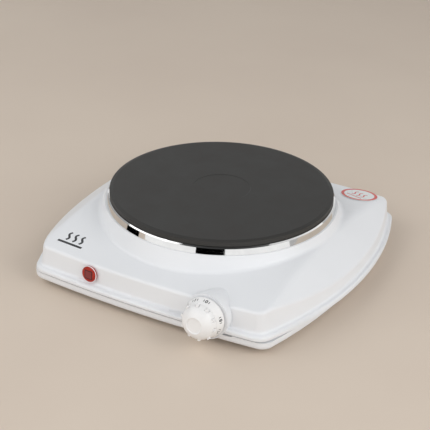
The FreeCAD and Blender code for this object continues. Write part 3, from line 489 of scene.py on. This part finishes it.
def printed(name, shapes, under, place, material):
    """Lays flat shapes on a piece: each point drops along the place's own -Z and stops just above it."""
    below = nodes[under].data
    tree = BVHTree.FromPolygons([v.co for v in below.vertices], [p.vertices for p in below.polygons])
    lift = 0.04 * MM
    away = place.to_3x3() @ Vector((0, 0, 1))
    verts, faces = [], []
    for points, polygons in shapes:
        start = len(verts)
        for x, y in points:
            hit = tree.ray_cast(place @ Vector((x * MM, y * MM, 0)), -away)[0]
            verts.append(hit + away * lift)
        faces.extend(tuple(start + i for i in polygon) for polygon in polygons)
    return add_mesh(name, verts, faces, material, "housing", smooth=False)


def above(x, y, turn):
    """A place high over the housing, looking straight down, turned by so many degrees."""
    return Matrix.Translation((x, y, 0.1)) @ Matrix.Rotation(math.radians(turn), 4, "Z")


def patch(half, rows=6):
    """A filled square of small faces."""
    across = [half * (2 * i / rows - 1) for i in range(rows + 1)]
    points = [(x, y) for y in across for x in across]
    wide = rows + 1
    polygons = [(k, k + 1, k + 1 + wide, k + wide) for k in range(rows * wide) if k % wide < rows]
    return points, polygons


def circle(radius, steps=96):
    return [(radius * math.cos(2 * math.pi * i / steps), radius * math.sin(2 * math.pi * i / steps))
            for i in range(steps + 1)]


def add_prints():
    ring_width = 2.6
    middle_radius = label_radius / MM - 0.4 - ring_width / 2
    warning = [ribbon(circle(middle_radius), ring_width / 2)]
    warning += [ribbon(heat_wave(x, -4.6, 5.4, 1.3), 0.6) for x in (-5, 0, 5)]
    warning.append(ribbon([(-8, -7.2), (8, -7.2)], 0.6))
    label_place = above(label_centre.x, label_centre.y, -20)
    printed("label_print", warning, "hot_surface_label", label_place, ink_red)
    mark = [ribbon(heat_wave(x, -2, 7.6, 1.4), 0.95) for x in (-6.6, 0, 6.6)]
    mark.append(ribbon([(-12 + 2 * k, -5.2) for k in range(13)], 1.1))
    mark_place = above(burner.x - 79 * MM, burner.y - 104 * MM, -4)
    printed("front_mark", mark, "upper_housing", mark_place, ink_dark)


def add_lamp_holder_behind_lens():
    """The square holder and its well as they show through the lens; the well's darker red is painted shade drawn
    on the lens.
    """
    lens_low, lens_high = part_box("pilot_lens")
    in_front = (lens_low + lens_high) / 2 - Vector((0, 30 * MM, 0))
    place = frame_matrix(in_front, Vector((0, -1, 0)), Vector((0, 0, 1)))
    reach, edge_half = 3.3, 0.42
    corners = [(reach, reach), (-reach, reach), (-reach, -reach), (reach, -reach)]
    rim = []
    for (x, y), (next_x, next_y) in zip(corners, corners[1:] + corners[:1]):
        steps = [(x + (next_x - x) * k / 8, y + (next_y - y) * k / 8) for k in range(9)]
        rim.append(ribbon(steps, edge_half))
    printed("lens_holder_edge", rim, "pilot_lens", place, holder_edge)
    # The well patch is painted shade laid on the lens surface.
    printed("lens_well_shade", [patch(reach - edge_half)], "pilot_lens", place, lens_well_shade)
    add_lens_bezel((lens_low + lens_high) / 2, lens_low.y)


def add_lens_bezel(centre, front):
    """A thin white bead round the lens, leaning back with the wall."""
    bead_radius, bead_half, bead_out, apex = 6.8, 0.34, 1, 2.39
    rows = [(bead_radius + bead_half * math.cos(math.radians(a)),
             bead_out + bead_half * math.sin(math.radians(a))) for a in range(0, 361, 30)]
    verts, faces = revolved(rows, 96)
    wall_yaw = math.radians(-2.6)
    origin = Vector((centre.x, front + apex * MM, centre.z))
    matrix = frame_matrix(origin, Matrix.Rotation(wall_yaw, 3, "Z") @ knob_out, Vector((0, 0, 1)))
    add_mesh("lens_bezel", verts, faces, finishes["white_enamel"], "housing", matrix)


# ---------------------------------------------------------------- floor, light and camera

def add_floor():
    reach = 6
    mesh = bpy.data.meshes.new("floor")
    corners = [(-reach, -reach, 0), (reach, -reach, 0), (reach, reach, 0), (-reach, reach, 0)]
    mesh.from_pydata(corners, [], [(0, 1, 2, 3)])
    made = Finish("pale_floor", 0.6, Specular_IOR_Level=0.2)
    cloud = made.noise(0.25, 3)
    made.colours(cloud, (216, 201, 186), (221, 207, 192)).rough(cloud, 0.55, 0.7)
    mesh.materials.append(made.material)
    floor = bpy.data.objects.new("floor", mesh)
    bpy.context.scene.collection.objects.link(floor)


def direction(azimuth, elevation):
    """Unit vector towards a compass place: azimuth 0 is the front, positive turns to the right."""
    a, e = math.radians(azimuth), math.radians(elevation)
    return Vector((math.sin(a) * math.cos(e), -math.cos(a) * math.cos(e), math.sin(e)))


def add_softbox(name, azimuth, elevation, distance, width, height, power, colour=(1, 1, 1)):
    lamp = bpy.data.lights.new(name, "AREA")
    lamp.shape = "RECTANGLE"
    lamp.size, lamp.size_y = width, height
    lamp.energy = power
    lamp.color = colour
    softbox = bpy.data.objects.new(name, lamp)
    bpy.context.scene.collection.objects.link(softbox)
    target = Vector((0, 0, 0.03))
    softbox.location = target + direction(azimuth, elevation) * distance
    softbox.rotation_euler = (softbox.location - target).to_track_quat("Z", "Y").to_euler()
    softbox.visible_camera = False


def add_card(name, azimuth_low, azimuth_high, distance, top, glow):
    """A card bent round the object, black or softly glowing. Only the chrome shows it, as a reflection."""
    verts, faces = [], []
    steps = 12
    for step in range(steps + 1):
        azimuth = azimuth_low + (azimuth_high - azimuth_low) * step / steps
        base = burner + direction(azimuth, 0) * distance
        verts += [(base.x, base.y, 0), (base.x, base.y, top)]
        if step:
            k = 2 * step
            faces.append((k - 2, k, k + 1, k - 1))
    mesh = bpy.data.meshes.new(name)
    mesh.from_pydata(verts, [], faces)
    made = Finish(name, 1.0)
    made.shader.inputs["Base Color"].default_value = (0, 0, 0, 1)
    made.shader.inputs["Specular IOR Level"].default_value = 0
    made.shader.inputs["Emission Color"].default_value = (1, 1, 1, 1)
    made.shader.inputs["Emission Strength"].default_value = glow
    mesh.materials.append(made.material)
    card = bpy.data.objects.new(name, mesh)
    bpy.context.scene.collection.objects.link(card)
    for ray in ("camera", "diffuse", "transmission", "volume_scatter", "shadow"):
        setattr(card, "visible_" + ray, False)


def add_world(horizon, zenith):
    """A sky that runs from one brightness at the horizon to another overhead."""
    world = bpy.data.worlds.new("studio")
    world.use_nodes = True
    bpy.context.scene.world = world
    tree = world.node_tree
    back = tree.nodes["Background"]
    where = tree.nodes.new("ShaderNodeTexCoord")
    split = tree.nodes.new("ShaderNodeSeparateXYZ")
    tree.links.new(where.outputs["Generated"], split.inputs[0])
    ramp = tree.nodes.new("ShaderNodeValToRGB")
    tree.links.new(split.outputs["Z"], ramp.inputs["Fac"])
    ramp.color_ramp.elements[0].position = 0.0
    ramp.color_ramp.elements[0].color = (horizon, horizon, horizon, 1)
    ramp.color_ramp.elements[1].position = 1.0
    ramp.color_ramp.elements[1].color = (zenith, zenith, zenith, 1)
    tree.links.new(ramp.outputs["Color"], back.inputs["Color"])
    back.inputs["Strength"].default_value = 1


def add_camera():
    """Stands at the viewpoint of a person looking down at the right front corner."""
    azimuth, elevation, roll, distance = 27.731, 27.941, math.radians(1.746), 0.9047
    aim = burner + Vector((19.21, -47.17, 0)) * MM
    back = direction(azimuth, elevation)
    right = Vector((math.cos(math.radians(azimuth)), math.sin(math.radians(azimuth)), 0))
    up = right.cross(-back)
    tilted_right = right * math.cos(roll) + up * math.sin(roll)
    tilted_up = up * math.cos(roll) - right * math.sin(roll)
    lens = bpy.data.cameras.new("camera")
    lens.sensor_width = 36
    lens.lens = 94.62
    lens.clip_start = 0.01
    camera = bpy.data.objects.new("camera", lens)
    bpy.context.scene.collection.objects.link(camera)
    turned = Matrix((tilted_right, tilted_up, back)).transposed().to_4x4()
    camera.matrix_world = Matrix.Translation(aim + back * distance) @ turned
    bpy.context.scene.camera = camera


finish_cad_nodes()
add_knob()
add_prints()
add_lamp_holder_behind_lens()
add_floor()
add_world(0.97, 0.0)
add_softbox("softbox_left", -60, 40, 1.6, 1.0, 1.0, 4.6)
add_softbox("softbox_right", 80, 35, 1.6, 1.0, 1.0, 8.4)
add_softbox("softbox_camera", 27, 30, 1.6, 1.0, 1.0, 2.6)
add_softbox("softbox_front", -20, 45, 1.6, 1.0, 1.0, 4.7)
add_softbox("softbox_back_left", -125, 45, 1.6, 1.0, 1.0, 1.4)
add_softbox("softbox_back_right", 130, 45, 1.6, 1.0, 1.0, 1.8)
add_card("card_far_left", -115, -57, 0.75, 0.5, 0.42)
add_card("card_left", -57, -42, 0.30, 0.16, 0)
add_card("card_front", -42, 7, 0.75, 0.5, 1.05)
add_card("card_camera", 7, 32, 0.75, 0.5, 0)
add_card("card_right", 32, 91, 0.75, 0.5, 1.05)
add_card("card_far_right", 91, 130, 0.75, 0.5, 0.5)
add_camera()
bpy.context.scene.view_settings.view_transform = "Standard"
